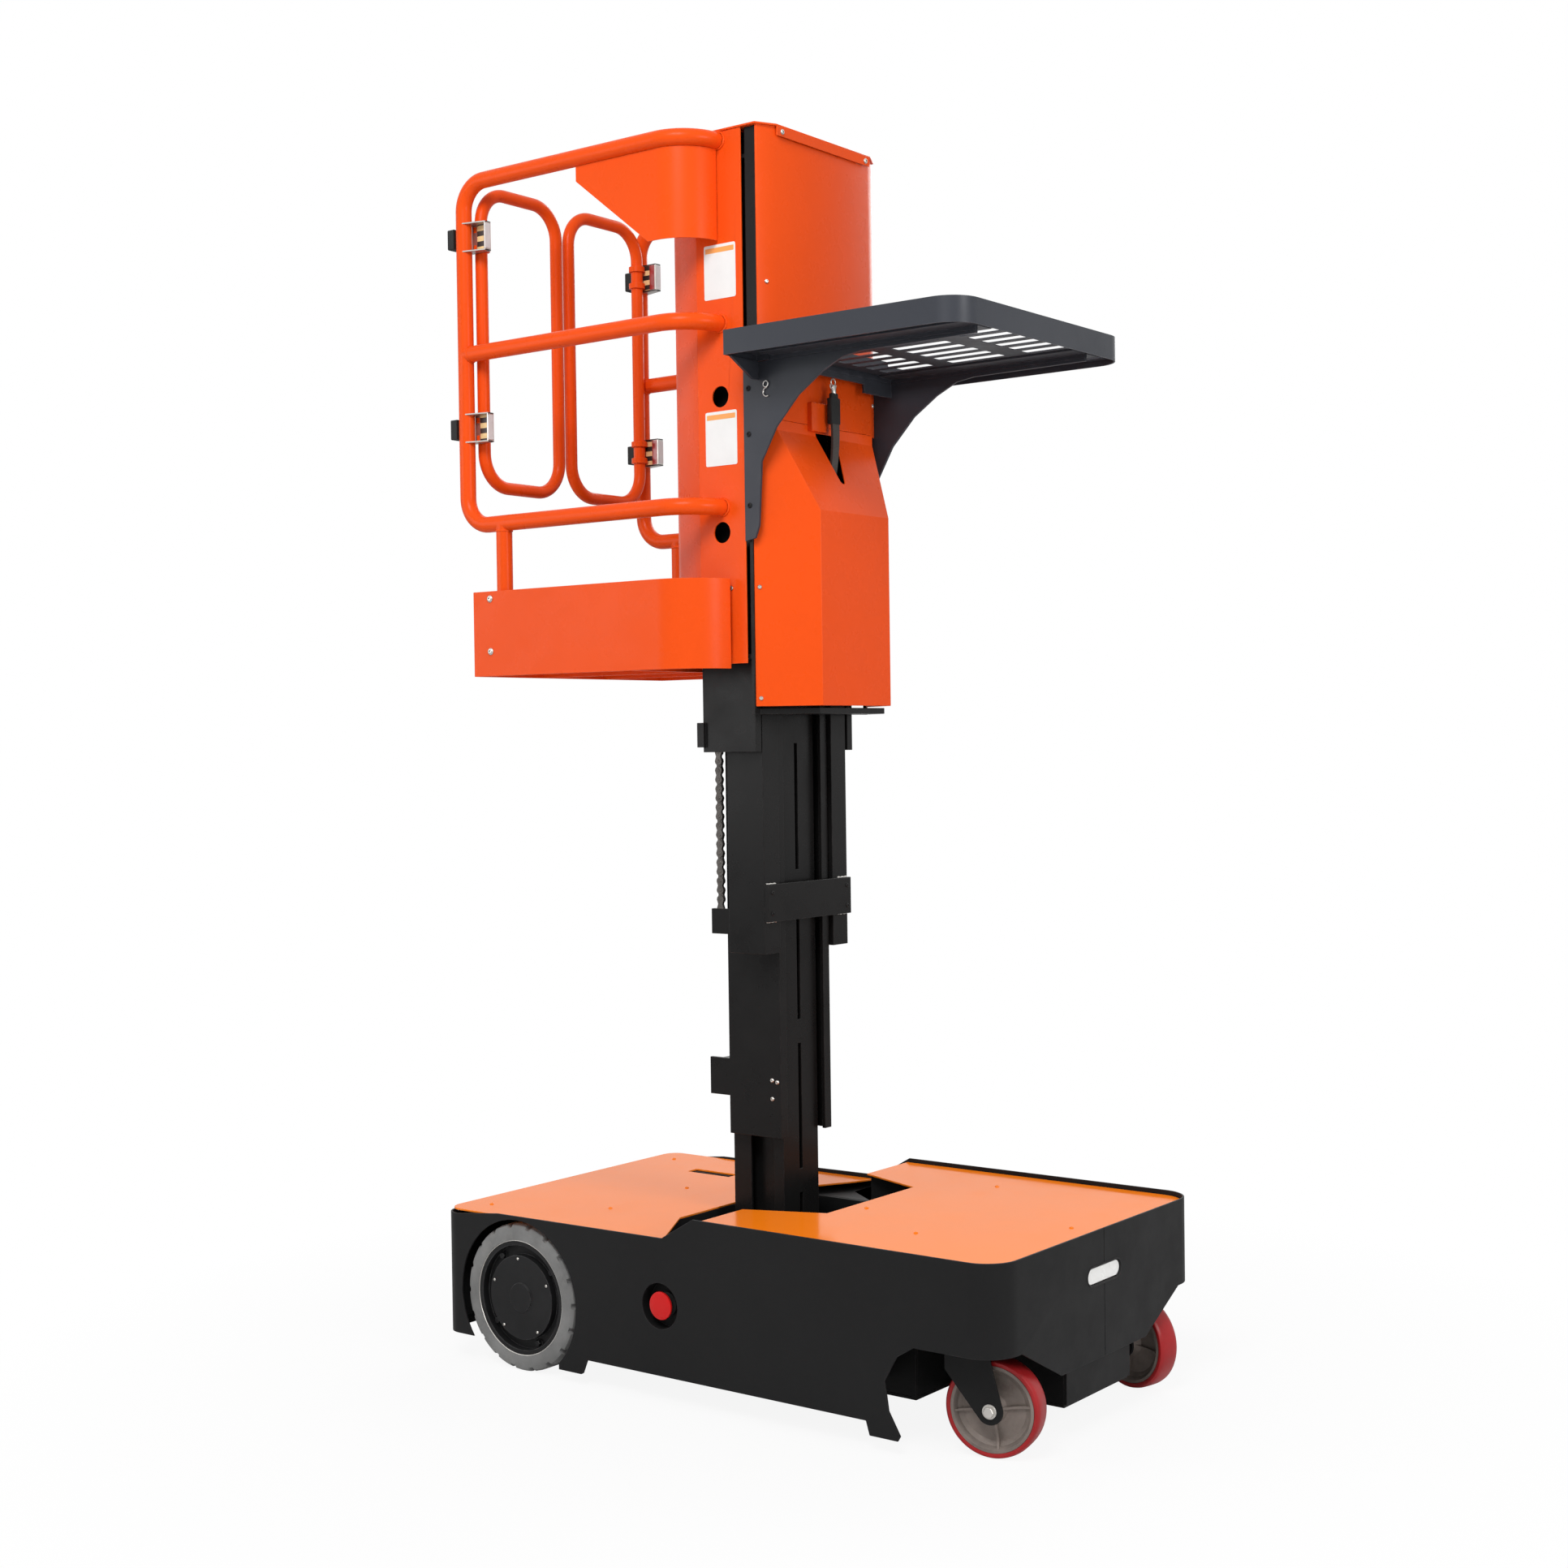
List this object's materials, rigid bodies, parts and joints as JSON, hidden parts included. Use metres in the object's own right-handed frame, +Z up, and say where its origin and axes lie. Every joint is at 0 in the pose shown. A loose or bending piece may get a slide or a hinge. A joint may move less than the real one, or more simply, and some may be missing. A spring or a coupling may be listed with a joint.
{
  "type": "order picker truck",
  "caption": "Self-propelled order picker: railed platform with inward gates and a goods tray on a telescoping mast, over a compact wheeled chassis.",
  "frame": {"origin": "middle of the footprint on the floor, which is the bounding box's bottom centre in the rest pose", "axes": "+X towards the tray end and the casters, +Y to the left, +Z up"},
  "size_m": [1.4104, 0.75, 2.51],
  "materials": {
    "black_steel": "satin",
    "orange_paint": "satin gloss",
    "deck_paint": "gloss",
    "battery_case": "matt",
    "red_button": "gloss",
    "white_lens": "gloss",
    "drive_tyre": "matt",
    "rim_black": "satin",
    "caster_tread": "satin",
    "core_iron": "rough",
    "chain_steel": "oiled",
    "tray_paint": "satin",
    "strap": "matt",
    "bright_plate": "satin"
  },
  "bodies": {
    "chassis": {"chassis_pan": "black_steel", "frame_rails": "black_steel", "cross_walls": "black_steel", "outriggers": "black_steel", "caster_plates": "black_steel", "skirt_right": "black_steel", "skirt_left": "black_steel", "rear_deck": "deck_paint", "front_deck": "deck_paint", "battery_pack": "battery_case", "drive_motors": "black_steel", "emergency_stop": "red_button", "front_lamp": "white_lens", "mast_base": "black_steel"},
    "drive_wheel_right": {"drive_tyre_right": "drive_tyre", "drive_hub_right": "rim_black"},
    "drive_wheel_left": {"drive_tyre_left": "drive_tyre", "drive_hub_left": "rim_black"},
    "caster_right": {"caster_fork_right": "black_steel"},
    "caster_wheel_right": {"caster_tyre_right": "caster_tread", "caster_core_right": "core_iron"},
    "caster_left": {"caster_fork_left": "black_steel"},
    "caster_wheel_left": {"caster_tyre_left": "caster_tread", "caster_core_left": "core_iron"},
    "stage_b": {"stage_b": "black_steel"},
    "stage_c": {"stage_c": "black_steel", "lift_chain": "chain_steel"},
    "platform": {"carriage": "black_steel", "upper_cover": "orange_paint", "bonnet": "orange_paint", "column": "orange_paint", "platform_floor": "orange_paint", "toe_board_right": "orange_paint", "toe_board_left": "orange_paint", "guard_rail_right": "orange_paint", "guard_rail_left": "orange_paint", "console": "orange_paint", "tray": "tray_paint", "tray_brackets": "black_steel", "lanyard": "strap", "gate_hinges": "bright_plate"},
    "gate_right": {"gate_right": "orange_paint"},
    "gate_left": {"gate_left": "orange_paint"}
  },
  "joints": [
    {"name": "drive_spin_right", "type": "hinge", "parent": "chassis", "child": "drive_wheel_right", "pos_m": [-0.474, -0.332, 0.1525], "axis": [0, 1, 0], "continuous": true},
    {"name": "drive_spin_left", "type": "hinge", "parent": "chassis", "child": "drive_wheel_left", "pos_m": [-0.474, 0.332, 0.1525], "axis": [0, 1, 0], "continuous": true},
    {"name": "caster_swivel_right", "type": "hinge", "parent": "chassis", "child": "caster_right", "pos_m": [0.568, -0.272, 0.2], "axis": [0, 0, 1], "continuous": true},
    {"name": "caster_swivel_left", "type": "hinge", "parent": "chassis", "child": "caster_left", "pos_m": [0.568, 0.272, 0.2], "axis": [0, 0, 1], "continuous": true},
    {"name": "caster_spin_right", "type": "hinge", "parent": "caster_right", "child": "caster_wheel_right", "pos_m": [0.61185, -0.26188, 0.09], "axis": [-0.225, 0.9744, 0], "continuous": true},
    {"name": "caster_spin_left", "type": "hinge", "parent": "caster_left", "child": "caster_wheel_left", "pos_m": [0.61185, 0.26188, 0.09], "axis": [0.225, 0.9744, 0], "continuous": true},
    {"name": "lift_b", "type": "slide", "parent": "chassis", "child": "stage_b", "axis": [0, 0, 1], "range_m": [-0.367, 0.52]},
    {"name": "lift_c", "type": "slide", "parent": "stage_b", "child": "stage_c", "axis": [0, 0, 1], "range_m": [-0.367, 0.52]},
    {"name": "lift_platform", "type": "slide", "parent": "stage_c", "child": "platform", "axis": [0, 0, 1], "range_m": [-0.367, 0.52]},
    {"name": "gate_hinge_right", "type": "hinge", "parent": "platform", "child": "gate_right", "pos_m": [-0.652, -0.252, 2.1], "axis": [0, 0, -1], "range_deg": [0, 90], "stiffness_Nm_per_rad": 2},
    {"name": "gate_hinge_left", "type": "hinge", "parent": "platform", "child": "gate_left", "pos_m": [-0.652, 0.252, 2.1], "axis": [0, 0, 1], "range_deg": [0, 90], "stiffness_Nm_per_rad": 2}
  ],
  "couplings": [
    {"joint": "lift_c", "follows": "lift_b", "ratio": 1},
    {"joint": "lift_platform", "follows": "lift_b", "ratio": 1}
  ]
}
